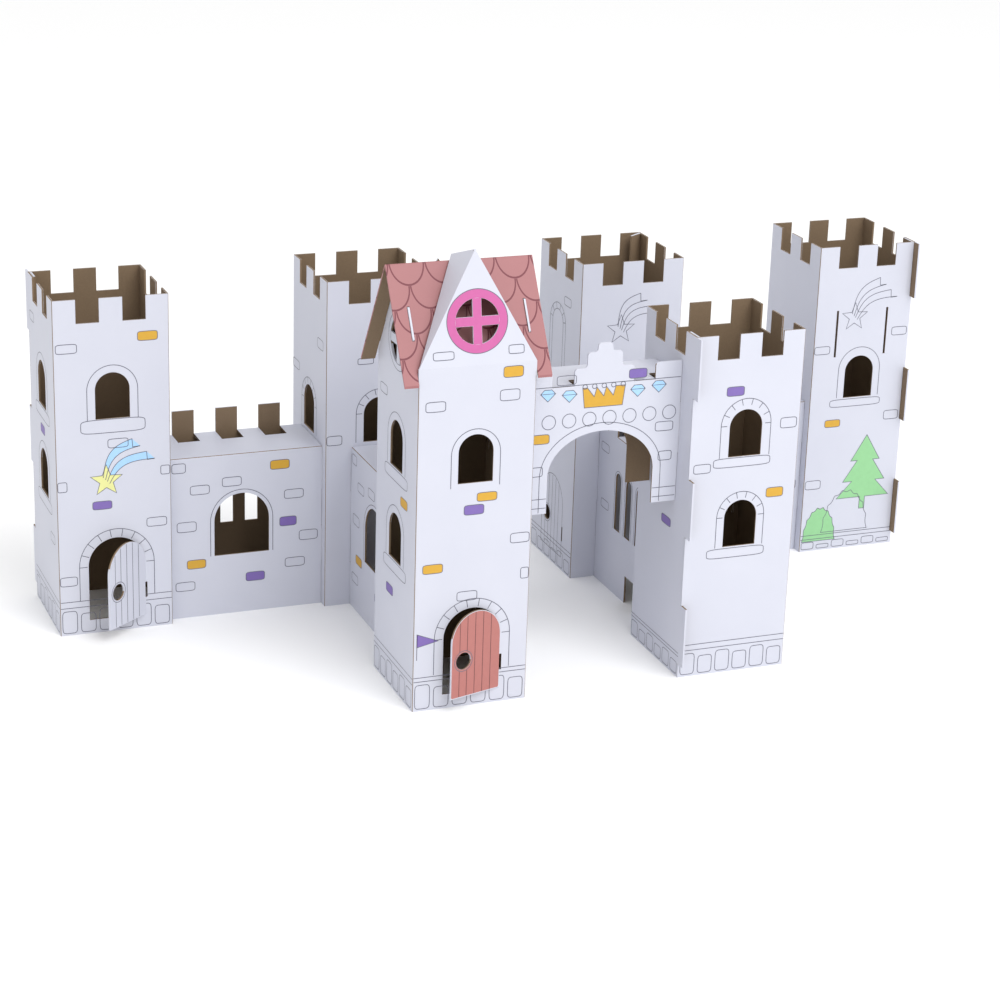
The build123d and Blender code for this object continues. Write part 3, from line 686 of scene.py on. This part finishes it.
class CASTLE_OT_gable_print(bpy.types.Operator):
    """Print the pink round window of the leaning gable"""
    bl_idname = "castle.gable_print"
    bl_label = "Gable print"

    def execute(self, context):
        ink = Print()
        back, rise = math.sin(GABLE_LEAN), math.cos(GABLE_LEAN)
        corner = tower_face("tower_gatehouse", "front").origin + (0, 0, GABLE_FOLD)
        gable = Sheet(corner, (1, 0, 0), (0, back, rise), (0, -rise, back))
        big = ellipse(24.3, 75.7, 9.3, 60.7, count=80)
        small = ellipse(31.4, 68.6, 16.4, 53.6, count=80)
        # the ring's strip and the cross between the panes
        ink.band(gable, big, small, "pink_ink")
        for a, b, low, high in ((31.6, 68.4, 31.4, 38.6), (46.4, 53.6, 38.6, 53.4),
                                (46.4, 53.6, 16.6, 31.4)):
            ink.fill(gable, ((a, low), (b, low), (b, high), (a, high), (a, low)), "pink_ink")
        ink.line(gable, big)
        for row in (("brick", None, 12.2, 29.6, 6, 12.5), ("brick", None, 76, 89, 7, 14)):
            ink.shape(gable, *row)
        ink.build("gable_print")
        return {"FINISHED"}


class CASTLE_OT_stage(bpy.types.Operator):
    """Set the floor, the soft lights and the camera"""
    bl_idname = "castle.stage"
    bl_label = "Stage"

    def execute(self, context):
        studio = context.scene.castle_studio
        reach = 12.0
        mesh = bpy.data.meshes.new("studio_floor")
        mesh.from_pydata([(-reach, -reach, 0), (reach, -reach, 0), (reach, reach, 0),
                          (-reach, reach, 0)], [], [(0, 1, 2, 3)])
        material, tree, shader = new_material("matt_white_floor")
        shader.inputs["Base Color"].default_value = linear(studio.floor)
        shader.inputs["Roughness"].default_value = 0.9
        mesh.materials.append(material)
        floor = bpy.data.objects.new("studio_floor", mesh)
        context.collection.objects.link(floor)
        lamp = bpy.data.lights.new("soft_key", "AREA")
        lamp.energy, lamp.size = studio.key, 2.2
        key = bpy.data.objects.new("soft_key", lamp)
        context.collection.objects.link(key)
        place = Vector((0.6, -2.2, 2.6))
        key.matrix_world = Matrix.Translation(place) @ (
            Vector((0, 0, 0.15)) - place).to_track_quat("-Z", "Y").to_matrix().to_4x4()
        world = bpy.data.worlds.new("studio")
        world.use_nodes = True
        world.node_tree.nodes["Background"].inputs[0].default_value = (1, 1, 1, 1)
        world.node_tree.nodes["Background"].inputs[1].default_value = studio.fill
        context.scene.world = world
        view = bpy.data.cameras.new("camera")
        view.lens, view.sensor_width, view.clip_end = 93.36, 36.0, 60.0
        camera = bpy.data.objects.new("camera", view)
        context.collection.objects.link(camera)
        right, up = Vector((0.93279, -0.35913, 0.03045)), Vector((0.09516, 0.32687, 0.94028))
        back = right.cross(up)
        turn = Matrix((right, up, back)).transposed().to_4x4()
        camera.matrix_world = Matrix.Translation((-0.8272, -2.0033, 0.8895)) @ turn
        context.scene.camera = camera
        context.scene.view_settings.view_transform = "Standard"
        return {"FINISHED"}


class CASTLE_PT_panel(bpy.types.Panel):
    """Lists what makes the castle"""
    bl_idname = "CASTLE_PT_panel"
    bl_label = "Cardboard castle"
    bl_space_type = "VIEW_3D"
    bl_region_type = "UI"
    bl_category = "Castle"

    def draw(self, context):
        for item in OPERATORS:
            self.layout.operator(item.bl_idname)


GROUPS = (("castle_board", CastleBoard), ("castle_studio", CastleStudio))
OPERATORS = (CASTLE_OT_board, CASTLE_OT_tower_print, CASTLE_OT_door_print, CASTLE_OT_wall_print,
             CASTLE_OT_gable_print, CASTLE_OT_stage)


def register():
    for name, group in GROUPS:
        bpy.utils.register_class(group)
        setattr(bpy.types.Scene, name, bpy.props.PointerProperty(type=group))
    for item in (*OPERATORS, CASTLE_PT_panel):
        bpy.utils.register_class(item)


def unregister():
    for item in (CASTLE_PT_panel, *reversed(OPERATORS)):
        bpy.utils.unregister_class(item)
    for name, group in reversed(GROUPS):
        delattr(bpy.types.Scene, name)
        bpy.utils.unregister_class(group)


def main():
    register()
    for item in OPERATORS:
        group, name = item.bl_idname.split(".")
        getattr(getattr(bpy.ops, group), name)()


if __name__ == "__main__":
    main()
